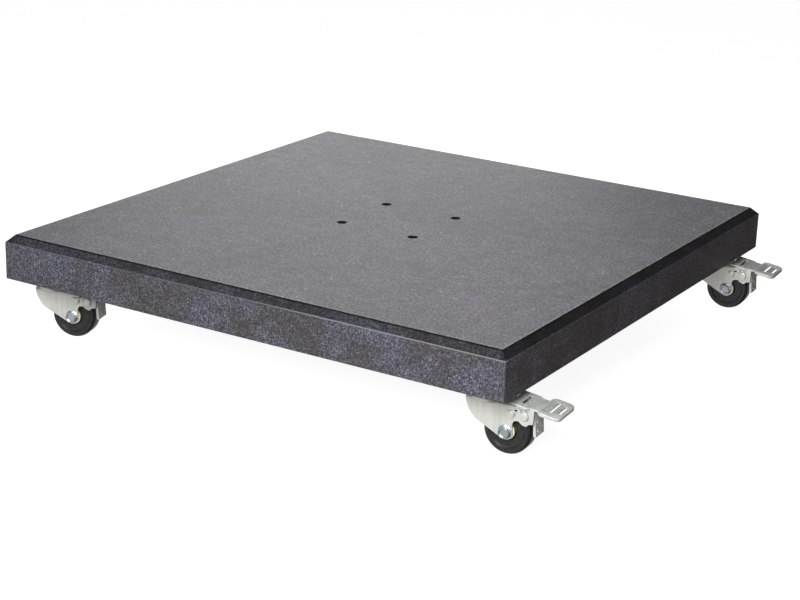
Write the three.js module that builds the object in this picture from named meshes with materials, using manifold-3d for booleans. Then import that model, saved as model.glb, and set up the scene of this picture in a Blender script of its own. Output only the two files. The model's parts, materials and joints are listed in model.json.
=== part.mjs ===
// A granite parasol base: a square weight slab that rolls on four swivel castors with brake pedals.
// Millimetres, +Z up. The origin is the centre of the slab's top face, +X runs to the right along the
// front edge and +Y runs to the back. Each castor is drawn in a frame of its own, with its origin on
// the swivel axis at the slab's underside and +X towards the wheel and the pedal.
import * as THREE from "three";
import { mergeVertices } from "three/addons/utils/BufferGeometryUtils.js";
import Module from "manifold-3d";

const wasm = await Module();
wasm.setup();

// ---------------------------------------------------------------- driving dimensions
const GAP = 0.3; // left between pieces that touch on the real thing
const OVERCUT = 1; // how far a cut runs past the face it opens, and a joined piece into its neighbour

const SLAB = { side: 750, thickness: 60, chamfer: 10 };
const PARASOL_HOLES = { spacing: 113.1, radius: 7 };
const CASTOR_HEIGHT = 80; // from the slab's underside to the floor
const CASTOR_INSET = { x: 44, y: 50 }; // from the slab's edges to a swivel axis

const CASTORS = [
  { name: "front_left", x: -1, y: -1, heading: 16 },
  { name: "front_right", x: 1, y: -1, heading: 4 },
  { name: "rear_right", x: 1, y: 1, heading: 4 },
  { name: "rear_left", x: -1, y: 1, heading: 12 },
];

const PLATE = { side: 60, thickness: 2.5, corner: 6, pan: 20, panDepth: 7, panWall: 2 };
const SCREW = { spacing: 44, radius: 2.8, headRadius: 4.5, headHeight: 2.5, length: 19, holeRadius: 3.4 };
const KING_PIN = { radius: 4.9, headRadius: 9, headRim: 1.6, headTaper: 2.5 };
const KING_RIVET = { radius: 7.5, height: 2, taper: 1.5 };
const BALLS = { count: 8, radius: 3.3, pitch: 13.5, cageWidth: 2.4, cageHeight: 1.6 };

const WHEEL = { radius: 30, width: 22, bore: 6.4, hub: 11, dish: 2, trail: 27 };
const BUSH = { inner: 4.5, outer: 6, flange: 10.8, flangeWidth: 1.9 };
const BOLT = { radius: 4, head: 7.5, flange: 8.5, flangeWidth: 1.2, headHeight: 5.2, length: 45, nut: 6 };

const FORK = { sheet: 2.4, outside: 16, top: -14.6, front: -25, back: 44 };
const CROWN = { radius: 24, wall: 1.8, skirt: 5.1 };
const BOSS_RADIUS = 9.5;
const EAR_RADIUS = 7.6;

const BRAKE_PIVOT = { x: 51, z: -26, pin: 2, pinHead: 5.3, pinHeadHeight: 1.3, hole: 2.3 };
const SPRING = { sheet: 0.7, halfWidth: 5, hook: 4, clearance: 0.5 };
const PEDAL = { sheet: 1.8, pitch: 9, kneeX: 40, kneeZ: -10.3, cheekInside: 16.4, cheek: 2 };
const SHOE = { width: 23, lip: 1.3, lipSheet: 1.6 };
// Along the pedal's sheet from its knee. The lift raises the pad above the rocker and its neck.
const ROCKER = { from: -7, to: 19, halfWidth: 21.5, corner: 5 };
const NECK = { to: 30.5, halfWidth: 18.5 };
const PAD = { from: 28.5, to: 57.5, halfWidth: 26, lift: 2.5, rim: 4.2, corner: 8 };
const SLOTS = [
  { x: 7, halfLength: 13 },
  { x: 41.5, halfLength: 16 },
  { x: 51.5, halfLength: 11.5 },
];
const SLOT_HALF_WIDTH = 1.8;

// ---------------------------------------------------------------- worked out from them
const AXLE = { x: WHEEL.trail, z: WHEEL.radius - CASTOR_HEIGHT };
const PLATE_TOP = -GAP;
const PLATE_UNDER = PLATE_TOP - PLATE.thickness;
const PAN_UNDER = PLATE_TOP - PLATE.panDepth;
const PAN_FLOOR = PAN_UNDER + PLATE.panWall;
const FORK_WEB_UNDER = FORK.top - FORK.sheet;
const LEG_INSIDE = FORK.outside - FORK.sheet;
const LOWER_RACE = { top: FORK_WEB_UNDER - GAP, thickness: 1.5, radius: 11 };
const HOLE_RADIUS = KING_PIN.radius + 0.5;

const radians = THREE.MathUtils.degToRad;

const MATERIALS = {
  granite: new THREE.MeshStandardMaterial({ color: 0x55565b, roughness: 0.75 }),
  zinc: new THREE.MeshStandardMaterial({ color: 0xd9d9d2, roughness: 0.35, metalness: 0.9 }),
  pedal: new THREE.MeshStandardMaterial({ color: 0xb9bdba, roughness: 0.45, metalness: 0.8 }),
  fastener: new THREE.MeshStandardMaterial({ color: 0xa9b6c2, roughness: 0.3, metalness: 0.9 }),
  wheel: new THREE.MeshStandardMaterial({ color: 0x1c1c1e, roughness: 0.45 }),
  bush: new THREE.MeshStandardMaterial({ color: 0xe4dcc0, roughness: 0.5 }),
};

// ---------------------------------------------------------------- solids
// A closed geometry as a manifold-3d solid, with its shared vertices merged.
function toSolid(geometry) {
  const bare = geometry.clone();
  bare.deleteAttribute("normal");
  bare.deleteAttribute("uv");
  const merged = mergeVertices(bare, 1e-4);
  return new wasm.Manifold(
    new wasm.Mesh({
      numProp: 3,
      vertProperties: merged.attributes.position.array,
      triVerts: new Uint32Array(merged.index.array),
    }),
  );
}

function toGeometry(solid) {
  const mesh = solid.getMesh();
  const shared = new THREE.BufferGeometry();
  shared.setAttribute("position", new THREE.BufferAttribute(mesh.vertProperties, 3));
  shared.setIndex(new THREE.BufferAttribute(mesh.triVerts, 1));
  const faceted = shared.toNonIndexed();
  faceted.computeVertexNormals();
  return faceted;
}

// One geometry made of `pieces` joined together, less all the `cuts`.
function build(pieces, cuts = []) {
  const joined = pieces.map(toSolid).reduce((sum, piece) => sum.add(piece));
  return toGeometry(cuts.map(toSolid).reduce((left, cut) => left.subtract(cut), joined));
}

// A shape drawn in plan, standing from z = bottom up to z = top.
function slabOf(shape, bottom, top, curveSegments = 3) {
  const options = { depth: top - bottom, bevelEnabled: false, curveSegments };
  return new THREE.ExtrudeGeometry(shape, options).translate(0, 0, bottom);
}

// A shape drawn in side view as (x, z), reaching across from y = near to y = far.
function plateAcross(shape, near, far, curveSegments = 4) {
  const options = { depth: far - near, bevelEnabled: false, curveSegments };
  return new THREE.ExtrudeGeometry(shape, options).rotateX(Math.PI / 2).translate(0, far, 0);
}

function rodAcross(radius, near, far, x, z, sides = 12) {
  const rod = new THREE.CylinderGeometry(radius, radius, far - near, sides);
  return rod.translate(x, (near + far) / 2, z);
}

function rodUp(radius, bottom, top, x = 0, y = 0, sides = 16) {
  const rod = new THREE.CylinderGeometry(radius, radius, top - bottom, sides);
  return rod.rotateX(Math.PI / 2).translate(x, y, (bottom + top) / 2);
}

// A turned solid about the Y axis, from its [radius, y] profile.
function turned(profile, sides) {
  return new THREE.LatheGeometry(profile.map(([r, y]) => new THREE.Vector2(r, y)), sides);
}

function turnedUp(profile, sides) {
  return turned(profile, sides).rotateX(Math.PI / 2);
}

function roundedRectangle(left, right, halfWidth, innerCorner, outerCorner) {
  const shape = new THREE.Shape();
  shape.moveTo(left, innerCorner - halfWidth);
  shape.absarc(left + innerCorner, innerCorner - halfWidth, innerCorner, Math.PI, 1.5 * Math.PI);
  shape.absarc(right - outerCorner, outerCorner - halfWidth, outerCorner, 1.5 * Math.PI, 2 * Math.PI);
  shape.absarc(right - outerCorner, halfWidth - outerCorner, outerCorner, 0, Math.PI / 2);
  shape.absarc(left + innerCorner, halfWidth - innerCorner, innerCorner, Math.PI / 2, Math.PI);
  return shape;
}

function polygon(points) {
  return new THREE.Shape(points.map(([x, y]) => new THREE.Vector2(x, y)));
}

const FOUR_CORNERS = [[-1, -1], [1, -1], [1, 1], [-1, 1]];

// ---------------------------------------------------------------- the slab
function castorPlace({ x, y }) {
  return { x: x * (SLAB.side / 2 - CASTOR_INSET.x), y: y * (SLAB.side / 2 - CASTOR_INSET.y) };
}

function slabGeometry() {
  // Four sides to the turn make a square block, whose corners lie on the profile's radius.
  const corner = (SLAB.side / 2) * Math.SQRT2;
  const topCorner = (SLAB.side / 2 - SLAB.chamfer) * Math.SQRT2;
  const block = turnedUp(
    [
      [0, -SLAB.thickness],
      [corner, -SLAB.thickness],
      [corner, -SLAB.chamfer],
      [topCorner, 0],
      [0, 0],
    ],
    4,
  ).rotateZ(Math.PI / 4);

  const half = PARASOL_HOLES.spacing / 2;
  const through = FOUR_CORNERS.map(([x, y]) =>
    rodUp(PARASOL_HOLES.radius, -SLAB.thickness - OVERCUT, OVERCUT, x * half, y * half),
  );
  const blind = CASTORS.flatMap((castor) => {
    const place = castorPlace(castor);
    return FOUR_CORNERS.map(([x, y]) =>
      rodUp(
        SCREW.holeRadius,
        -SLAB.thickness - OVERCUT,
        -SLAB.thickness + SCREW.length,
        place.x + (x * SCREW.spacing) / 2,
        place.y + (y * SCREW.spacing) / 2,
        8,
      ),
    );
  });
  return build([block], [...through, ...blind]);
}

// ---------------------------------------------------------------- what stays with the slab
// A square plate with a pressed pan for the upper race, and its four screws driven home.
function topPlateGeometry() {
  const half = PLATE.side / 2;
  const sheet = slabOf(
    roundedRectangle(-half, half, half, PLATE.corner, PLATE.corner),
    PLATE_UNDER,
    PLATE_TOP,
    2,
  );
  const pan = rodUp(PLATE.pan, PAN_UNDER, PLATE_TOP - PLATE.thickness / 2);
  const screws = FOUR_CORNERS.flatMap(([x, y]) => {
    const place = [(x * SCREW.spacing) / 2, (y * SCREW.spacing) / 2];
    return [
      rodUp(SCREW.radius, PLATE_UNDER - OVERCUT, SCREW.length - GAP, ...place, 6),
      rodUp(SCREW.headRadius, PLATE_UNDER - SCREW.headHeight, PLATE_UNDER + OVERCUT, ...place, 8),
    ];
  });
  const recess = rodUp(PLATE.pan - PLATE.panWall, PAN_FLOOR, OVERCUT);
  const bore = rodUp(HOLE_RADIUS, PAN_UNDER - OVERCUT, OVERCUT);
  return build([sheet, pan, ...screws], [recess, bore]);
}

function kingPinGeometry() {
  const { radius, headRadius, headRim, headTaper } = KING_PIN;
  const headUnder = PAN_FLOOR + GAP;
  const headTop = PLATE_TOP - 1;
  const rivetTop = LOWER_RACE.top - LOWER_RACE.thickness - GAP;
  return turnedUp(
    [
      [0, rivetTop - KING_RIVET.height],
      [KING_RIVET.radius - KING_RIVET.taper, rivetTop - KING_RIVET.height],
      [KING_RIVET.radius, rivetTop - KING_RIVET.height / 2],
      [KING_RIVET.radius, rivetTop],
      [radius, rivetTop],
      [radius, headUnder],
      [headRadius, headUnder],
      [headRadius, headUnder + headRim],
      [headRadius - headTaper, headTop],
      [0, headTop],
    ],
    12,
  );
}

function lowerRaceGeometry() {
  const under = LOWER_RACE.top - LOWER_RACE.thickness;
  return turnedUp(
    [
      [HOLE_RADIUS, under],
      [LOWER_RACE.radius, under],
      [LOWER_RACE.radius, LOWER_RACE.top],
      [HOLE_RADIUS, LOWER_RACE.top],
      [HOLE_RADIUS, under],
    ],
    12,
  );
}

// ---------------------------------------------------------------- what swivels
function ballRingGeometry() {
  const height = (PAN_UNDER + FORK.top) / 2;
  const inside = BALLS.pitch - BALLS.cageWidth / 2;
  const outside = BALLS.pitch + BALLS.cageWidth / 2;
  const under = height - BALLS.cageHeight / 2;
  const top = height + BALLS.cageHeight / 2;
  const corners = [[inside, under], [outside, under], [outside, top], [inside, top], [inside, under]];
  const cage = turnedUp(corners, 12);
  const balls = [];
  for (let i = 0; i < BALLS.count; i++) {
    const angle = ((i + 0.5) * 2 * Math.PI) / BALLS.count;
    const ball = new THREE.IcosahedronGeometry(BALLS.radius);
    balls.push(ball.translate(BALLS.pitch * Math.cos(angle), BALLS.pitch * Math.sin(angle), height));
  }
  return build([cage, ...balls]);
}

// The fork's side view: a raked leading edge, a round boss at the axle, an arch over the back of the
// wheel, and a round ear that holds the brake's pin.
function legOutline() {
  const shape = new THREE.Shape();
  shape.moveTo(FORK.front, FORK.top);
  shape.bezierCurveTo(-23.5, -25, -19, -36, -9, -42);
  shape.absarc(AXLE.x, AXLE.z, BOSS_RADIUS, radians(242), radians(365));
  shape.bezierCurveTo(35.6, -42, 33.5, -33.8, 42, -33.6);
  shape.absarc(BRAKE_PIVOT.x, BRAKE_PIVOT.z, EAR_RADIUS, radians(270), radians(420));
  shape.lineTo(FORK.back, FORK.top);
  return shape;
}

function forkGeometry() {
  const legs = [-1, 1].map((side) => {
    const faces = [side * LEG_INSIDE, side * FORK.outside].sort((a, b) => a - b);
    return plateAcross(legOutline(), ...faces);
  });
  const web = new THREE.BoxGeometry(FORK.back - FORK.front, 2 * FORK.outside, FORK.sheet);
  web.translate((FORK.front + FORK.back) / 2, 0, FORK.top - FORK.sheet / 2);
  const crown = rodUp(CROWN.radius, FORK_WEB_UNDER, FORK.top + CROWN.skirt, 0, 0, 16);
  const ballTrack = rodUp(CROWN.radius - CROWN.wall, FORK.top, FORK.top + CROWN.skirt + OVERCUT, 0, 0, 16);
  const reach = FORK.outside + OVERCUT;
  return build(
    [...legs, web, crown],
    [
      ballTrack,
      rodUp(HOLE_RADIUS, FORK_WEB_UNDER - OVERCUT, FORK.top + OVERCUT),
      rodAcross(BOLT.radius + GAP, -reach, reach, AXLE.x, AXLE.z),
      rodAcross(BRAKE_PIVOT.hole, -reach, reach, BRAKE_PIVOT.x, BRAKE_PIVOT.z, 8),
    ],
  );
}

// A bolt with a flanged hexagon head on the near side of the fork.
function axleBoltGeometry() {
  const face = -FORK.outside - GAP;
  const head = face - BOLT.headHeight;
  return build([
    rodAcross(BOLT.radius, face - OVERCUT, head + BOLT.length, AXLE.x, AXLE.z),
    rodAcross(BOLT.flange, face - BOLT.flangeWidth, face, AXLE.x, AXLE.z, 16),
    rodAcross(BOLT.head, head, face - BOLT.flangeWidth / 2, AXLE.x, AXLE.z, 6),
  ]);
}

function axleNutGeometry() {
  const face = FORK.outside + GAP;
  const end = face + BOLT.nut;
  const bore = rodAcross(BOLT.radius + GAP, face - OVERCUT, end + OVERCUT, AXLE.x, AXLE.z);
  return build([rodAcross(BOLT.head, face, end, AXLE.x, AXLE.z, 6)], [bore]);
}

function brakePinGeometry() {
  const face = PEDAL.cheekInside + PEDAL.cheek + GAP;
  const { x, z, pin, pinHead, pinHeadHeight } = BRAKE_PIVOT;
  const end = face + pinHeadHeight;
  return build([
    rodAcross(pin, -face - pinHeadHeight / 2, face + pinHeadHeight / 2, x, z, 8),
    rodAcross(pinHead, -end, -face, x, z, 10),
    rodAcross(pinHead, face, end, x, z, 10),
  ]);
}

// A leaf that lies on the fork's web under the pedal and hooks over the web's back edge.
function brakeSpringGeometry() {
  const start = CROWN.radius + 2;
  const under = FORK.top + GAP;
  const top = under + SPRING.sheet;
  const hook = FORK.back + SPRING.clearance;
  const outline = polygon([
    [start, under],
    [hook, under],
    [hook, under - SPRING.hook],
    [hook + SPRING.sheet, under - SPRING.hook],
    [hook + SPRING.sheet, top],
    [start, top],
  ]);
  return plateAcross(outline, -SPRING.halfWidth, SPRING.halfWidth);
}

// ---------------------------------------------------------------- what rolls
function wheelGeometry() {
  const { radius, width, bore, hub, dish } = WHEEL;
  const face = width / 2;
  const halfProfile = [
    [radius, 6.5],
    [radius - 0.9, 9.6],
    [radius - 3.2, face],
    [radius - 6.5, face],
    [radius - 9, face - dish],
    [hub, face - dish],
    [bore, face],
  ];
  const mirrored = halfProfile.map(([r, y]) => [r, -y]).reverse();
  const profile = [...mirrored, ...halfProfile, mirrored[0]];
  return turned(profile, 22).translate(AXLE.x, 0, AXLE.z);
}

// One of the two flanged sleeves that meet in the middle of the wheel's bore.
function hubBushGeometry(side) {
  const flangeFace = WHEEL.width / 2 + GAP;
  const end = flangeFace + BUSH.flangeWidth;
  const sleeve = turned(
    [
      [BUSH.inner, GAP / 2],
      [BUSH.outer, GAP / 2],
      [BUSH.outer, flangeFace],
      [BUSH.flange, flangeFace],
      [BUSH.flange, end],
      [BUSH.inner, end],
      [BUSH.inner, GAP / 2],
    ],
    12,
  );
  if (side < 0) sleeve.rotateX(Math.PI);
  return sleeve.translate(AXLE.x, 0, AXLE.z);
}

// ---------------------------------------------------------------- what the foot presses
// The pedal's sheet is drawn flat from its knee, with x along it, and is then tipped down to its pitch.
function tipped(geometry) {
  return geometry.rotateY(radians(PEDAL.pitch)).translate(PEDAL.kneeX, 0, PEDAL.kneeZ);
}

function slotCut({ x, halfLength }) {
  const end = halfLength - SLOT_HALF_WIDTH;
  const shape = new THREE.Shape();
  shape.absarc(x, end, SLOT_HALF_WIDTH, 0, Math.PI);
  shape.absarc(x, -end, SLOT_HALF_WIDTH, Math.PI, 2 * Math.PI);
  return tipped(slabOf(shape, -10, 5, 2));
}

// The raised pad is a shallow tray turned over: a flat top inside a rim that is turned down all round.
function padShell() {
  const { from, to, halfWidth, lift, rim, corner } = PAD;
  const wall = PEDAL.sheet;
  const outside = roundedRectangle(from, to, halfWidth, corner, corner);
  const inside = roundedRectangle(from + wall, to - wall, halfWidth - wall, corner - wall, corner - wall);
  const bottom = lift - rim;
  return build([slabOf(outside, bottom, lift, 2)], [slabOf(inside, bottom - OVERCUT, lift - wall, 2)]);
}

function cheekOutline() {
  const shape = new THREE.Shape();
  shape.moveTo(41, -11.5);
  shape.lineTo(43.5, -28);
  shape.bezierCurveTo(44.5, -34, 49, -37, 53.5, -37);
  shape.bezierCurveTo(56, -37, 55.5, -34.5, 58, -34);
  shape.lineTo(62.5, -33);
  shape.lineTo(63.5, -15);
  return shape;
}

// A rocker under the slab's edge, a narrower neck, the raised pad, and two cheeks that carry the pin.
function brakePedalGeometry() {
  const rocker = roundedRectangle(ROCKER.from, ROCKER.to, ROCKER.halfWidth, 1, ROCKER.corner);
  const neck = roundedRectangle(0, NECK.to, NECK.halfWidth, 1, 1);
  const sheets = [rocker, neck].map((shape) => tipped(slabOf(shape, -PEDAL.sheet, 0, 2)));
  const cheeks = [-1, 1].map((side) => {
    const faces = [side * PEDAL.cheekInside, side * (PEDAL.cheekInside + PEDAL.cheek)];
    return plateAcross(cheekOutline(), ...faces.sort((a, b) => a - b));
  });
  const reach = PEDAL.cheekInside + PEDAL.cheek + OVERCUT;
  const pinHole = rodAcross(BRAKE_PIVOT.hole, -reach, reach, BRAKE_PIVOT.x, BRAKE_PIVOT.z, 8);
  return build([...sheets, tipped(padShell()), ...cheeks], [...SLOTS.map(slotCut), pinHole]);
}

// A bent plate riveted under the pedal: it hangs behind the wheel, with a lip along each side.
function brakeShoeGeometry() {
  const half = SHOE.width / 2;
  const back = polygon([
    [54, -15.3],
    [61.9, -16.6],
    [64.3, -51],
    [62.3, -51.2],
    [60, -18.3],
    [54, -17.3],
  ]);
  const lip = polygon([
    [61, -24],
    [60.5 - SHOE.lip, -25],
    [62.3 - SHOE.lip, -50.6],
    [62.8, -50.6],
  ]);
  return build([
    plateAcross(back, -half, half),
    plateAcross(lip, -half, SHOE.lipSheet - half),
    plateAcross(lip, half - SHOE.lipSheet, half),
  ]);
}

// ---------------------------------------------------------------- assembly
const GEOMETRY = {
  top_plate: topPlateGeometry(),
  king_pin: kingPinGeometry(),
  lower_race: lowerRaceGeometry(),
  ball_ring: ballRingGeometry(),
  fork: forkGeometry(),
  axle_bolt: axleBoltGeometry(),
  axle_nut: axleNutGeometry(),
  brake_pin: brakePinGeometry(),
  brake_spring: brakeSpringGeometry(),
  wheel: wheelGeometry(),
  hub_bush_near: hubBushGeometry(-1),
  hub_bush_far: hubBushGeometry(1),
  brake_pedal: brakePedalGeometry(),
  brake_shoe: brakeShoeGeometry(),
};

const FIXED_PIECES = {
  top_plate: MATERIALS.zinc,
  king_pin: MATERIALS.fastener,
  lower_race: MATERIALS.zinc,
};

const SWIVELLING_PIECES = {
  ball_ring: MATERIALS.fastener,
  fork: MATERIALS.zinc,
  axle_bolt: MATERIALS.fastener,
  axle_nut: MATERIALS.fastener,
  brake_pin: MATERIALS.zinc,
  brake_spring: MATERIALS.fastener,
  wheel: MATERIALS.wheel,
  hub_bush_near: MATERIALS.bush,
  hub_bush_far: MATERIALS.bush,
  brake_pedal: MATERIALS.pedal,
  brake_shoe: MATERIALS.pedal,
};

function addPieces(group, castorName, pieces) {
  for (const [piece, material] of Object.entries(pieces)) {
    const mesh = new THREE.Mesh(GEOMETRY[piece], material);
    mesh.name = `${castorName}_${piece}`;
    group.add(mesh);
  }
}

const parasolBase = new THREE.Group();

const slab = new THREE.Mesh(slabGeometry(), MATERIALS.granite);
slab.name = "slab";
parasolBase.add(slab);

for (const castor of CASTORS) {
  const place = castorPlace(castor);
  const fixed = new THREE.Group();
  fixed.position.set(place.x, place.y, -SLAB.thickness);
  addPieces(fixed, castor.name, FIXED_PIECES);

  const swivel = new THREE.Group();
  swivel.rotation.z = radians(castor.heading);
  addPieces(swivel, castor.name, SWIVELLING_PIECES);

  fixed.add(swivel);
  parasolBase.add(fixed);
}

export default parasolBase;
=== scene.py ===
"""The looks of a granite parasol base: a square weight slab on four swivel castors with brake pedals."""

import json
import math

import bmesh
import bpy
from mathutils import Matrix, Vector


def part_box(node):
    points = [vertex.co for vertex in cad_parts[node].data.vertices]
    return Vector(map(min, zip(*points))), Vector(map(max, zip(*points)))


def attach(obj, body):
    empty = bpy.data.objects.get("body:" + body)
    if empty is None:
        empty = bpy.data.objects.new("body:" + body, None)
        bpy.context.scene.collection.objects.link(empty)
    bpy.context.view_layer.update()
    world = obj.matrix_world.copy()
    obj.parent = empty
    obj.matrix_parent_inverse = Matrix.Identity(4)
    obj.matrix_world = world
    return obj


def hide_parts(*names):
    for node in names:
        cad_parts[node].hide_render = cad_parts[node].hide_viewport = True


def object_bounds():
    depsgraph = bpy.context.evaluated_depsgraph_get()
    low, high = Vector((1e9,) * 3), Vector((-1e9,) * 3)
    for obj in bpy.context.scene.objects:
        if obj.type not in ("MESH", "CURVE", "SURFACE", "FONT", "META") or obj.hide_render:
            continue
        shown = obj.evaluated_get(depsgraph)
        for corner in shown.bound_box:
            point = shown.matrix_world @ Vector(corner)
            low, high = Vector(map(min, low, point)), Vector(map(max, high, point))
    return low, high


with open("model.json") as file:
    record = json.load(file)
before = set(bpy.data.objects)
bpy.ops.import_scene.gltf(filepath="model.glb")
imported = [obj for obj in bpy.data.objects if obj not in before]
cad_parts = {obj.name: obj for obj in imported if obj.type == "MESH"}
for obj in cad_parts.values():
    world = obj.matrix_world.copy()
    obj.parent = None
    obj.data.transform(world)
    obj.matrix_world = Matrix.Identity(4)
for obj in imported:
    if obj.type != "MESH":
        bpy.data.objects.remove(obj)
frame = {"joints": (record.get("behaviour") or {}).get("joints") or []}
cad_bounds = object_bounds()

MM = 0.001
CASTORS = ("front_left", "front_right", "rear_right", "rear_left")
JOINTS = {joint["name"]: joint for joint in frame["joints"]}
SLAB_LOW, SLAB_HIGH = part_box("slab")
FLOOR = cad_bounds[0].z

QUADRANTS = ((-1, -1), (1, -1), (1, 1), (-1, 1))  # the signs of X and Y in a square's four corners
SIDES = (-1, 1)  # a castor's near and far side

# ---------------------------------------------------------------- millimetres, and angles in degrees
# A castor is drawn as in the CAD model: its origin is on the swivel axis at the slab's underside,
# and +X points to the wheel and the pedal.
SLAB_CHAMFER = 10
PARASOL_HOLES = {"spacing": 113.1, "radius": 7}

PLATE = {"side": 60, "top": -0.3, "under": -2.8, "corner": 6, "pan": 20, "pan_under": -7.3, "wall": 2}
SCREW = {"spacing": 44, "radius": 2.8, "hole": 3.2, "head": 4.5, "height": 2.5, "length": 18.7}
SCREW_TURN = 0.7  # radians from one screw to the next
CROSS_RECESS = {"reach": 2.6, "half": 0.45, "depth": 1.3}
KING_PIN = {"radius": 4.9, "hole": 5.4, "head": 9, "rivet": 7.5, "rivet_top": -19.1}
RACE = {"radius": 11, "low": -18.8, "high": -17.3}
BALLS = {"count": 8, "radius": 3.3, "pitch": 13.5, "height": -10.95}
CAGE = {"half_width": 1.2, "half_height": 0.8}

AXLE = (27, -50)
WHEEL = {"radius": 30, "half": 11, "bore": 6.4, "hub": 10.6, "shoulder": 4.2}
BUSH = {"inner": 4.5, "outer": 6, "start": 0.15, "flange": 10.8, "flange_from": 11.3, "flange_to": 13.2}
BOLT = {"radius": 4, "hole": 4.3, "hex": 7.5, "flange": 8.5, "face": 16.3, "head": 5.2, "nut": 6, "end": 23.5}
BOLT_DISH = {"radius": 5.4, "floor_radius": 4, "floor": 4.3}
THREAD = {"from": 14, "pitch": 1.25, "depth": 0.55}

FORK = {"half": 16, "sheet": 2.4, "top": -14.6, "front": -25, "back": 44, "crown": 24, "rim": -9.5, "fold": 4}
CROWN_WALL = 1.8
CROWN_ROUND = 2.6
WEB_END_HALF = 12.4  # half the width that is cut away between the ears, behind the web
BOSS_RADIUS = 9.5
EAR_RADIUS = 7.6
LEG_BOSS = (33, -27.5)
LEG_BOSS_HEIGHT = 1.7
LEG_WINDOW = {"at": (40.2, -21.3), "half_length": 2.7, "half_width": 1.2}

PIVOT = (51, -26)
PIN = {"radius": 2, "hole": 2.3, "head": 5.3, "face": 18.7, "height": 1.3}
SPRING = {"half": 5, "sheet": 0.7, "drop": 4, "gap": 0.3}
PEDAL = {"sheet": 1.8, "pitch": 9, "knee": (40, -10.3), "cheek_in": 16.4, "cheek_out": 18.4}
ROCKER = {"from": -7, "to": 19, "half": 21.5, "corner": 5}
SKIRT = {"from": 3, "bottom": -3.6}
NECK = {"to": 30.5, "half": 18.5}
PAD = {"from": 28.5, "to": 57.5, "half": 26, "lift": 2.5, "rim": 4.2, "corner": 8}
# the slots cut through rocker and pad: place along the pedal and half length
SLOTS = ((7, 13), (41.5, 16), (51.5, 11.5))
SLOT_HALF_WIDTH = 1.8
ROCKER_RIBS = (-4.2, -1.6, 1, 3.4, 10.8)
ROCKER_RIB = {"half_length": 15.5, "half_width": 0.8, "height": 0.6}
# the lines pressed into the pad: place along the pedal and half length
PAD_LINES = ((33, 19), (35.6, 19), (38.2, 18), (44.6, 15.5), (46.8, 15), (49, 14), (54.6, 10))
PAD_LINE = {"half_width": 0.55, "depth": 0.8}
CHEEK_WINDOWS = {"from": (46.2, 52.4), "width": 3.4, "low": -20.0, "high": -17.8}

SHOE = {"half": 11.5, "top": (61.9, -16.6), "bottom": (64.3, -51), "facing": 86, "lip": 1.6}
SHOE_HOLE = {"radius": 1.7, "burr": 2.5}
# share of the way from the shoe's top to its bottom, and place across it
SHOE_HOLES = ((0.36, 5.2), (0.5, -5.6), (0.6, 0), (0.7, 5.4), (0.82, -5.4), (0.9, 1.2))

THROUGH = 20  # half the length of a tool that cuts right across a castor
SAME_POINT = 1e-4  # points of an outline that are closer than this are one point


# ---------------------------------------------------------------- drawing in two dimensions
def polar(centre, radius, degrees):
    """The point at an angle and a distance from a centre."""
    angle = math.radians(degrees)
    return (centre[0] + radius * math.cos(angle), centre[1] + radius * math.sin(angle))


def arc(centre, radius, start, end, steps):
    """Points on a circle's arc, from one angle to another."""
    return [polar(centre, radius, start + (end - start) * i / steps) for i in range(steps + 1)]


def bezier(a, b, c, d, steps):
    """Points on the cubic curve from a to d that b and c steer."""
    points = []
    for i in range(steps + 1):
        t = i / steps
        weights = ((1 - t) ** 3, 3 * t * (1 - t) ** 2, 3 * t * t * (1 - t), t ** 3)
        points.append(tuple(sum(w * p[k] for w, p in zip(weights, (a, b, c, d))) for k in (0, 1)))
    return points


def rounded_rectangle(left, right, half, inner, outer, steps=6):
    """A rectangle symmetric about the X axis, with one corner radius on its left and one on its right."""
    return (
        arc((left + inner, inner - half), inner, 180, 270, steps)
        + arc((right - outer, outer - half), outer, 270, 360, steps)
        + arc((right - outer, half - outer), outer, 0, 90, steps)
        + arc((left + inner, half - inner), inner, 90, 180, steps)
    )


def stadium(x, half_length, half_width, steps=6):
    """The outline of a slot that is long along Y and lies across the X axis."""
    end = half_length - half_width
    return arc((x, end), half_width, 0, 180, steps) + arc((x, -end), half_width, 180, 360, steps)


# ---------------------------------------------------------------- solids
def to_mesh(bm):
    """A mesh of a solid's points and faces, with doubled points joined and every face turned outwards."""
    bmesh.ops.remove_doubles(bm, verts=bm.verts, dist=1e-5)
    bmesh.ops.recalc_face_normals(bm, faces=bm.faces)
    mesh = bpy.data.meshes.new("solid")
    bm.to_mesh(mesh)
    bm.free()
    return mesh


def loft(*rings):
    """A closed solid through rings of (x, y, z) points, which all have as many points."""
    bm = bmesh.new()
    made = [[bm.verts.new(p) for p in ring] for ring in rings]
    for a, b in zip(made, made[1:]):
        for i in range(len(a)):
            bm.faces.new((a[i - 1], a[i], b[i], b[i - 1]))
    bm.faces.new(made[0])
    bm.faces.new(made[-1])
    return to_mesh(bm)


def prism(outline, axis, low, high):
    """An outline of (y, z), (x, z) or (x, y) points, pushed along the axis from low to high."""
    def point(p, at):
        return {"x": (at, p[0], p[1]), "y": (p[0], at, p[1]), "z": (p[0], p[1], at)}[axis]

    clean = [p for i, p in enumerate(outline) if math.dist(p, outline[i - 1]) > SAME_POINT]
    return loft(*([point(p, at) for p in clean] for at in (low, high)))


def plate_across(outline, side, near, far):
    """A sheet across Y, between two distances from the castor's middle on one side of it."""
    return prism(outline, "y", *sorted((side * near, side * far)))


def box(low, high):
    """A box between two opposite corners."""
    outline = [(low[0], low[1]), (high[0], low[1]), (high[0], high[1]), (low[0], high[1])]
    return prism(outline, "z", low[2], high[2])


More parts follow.
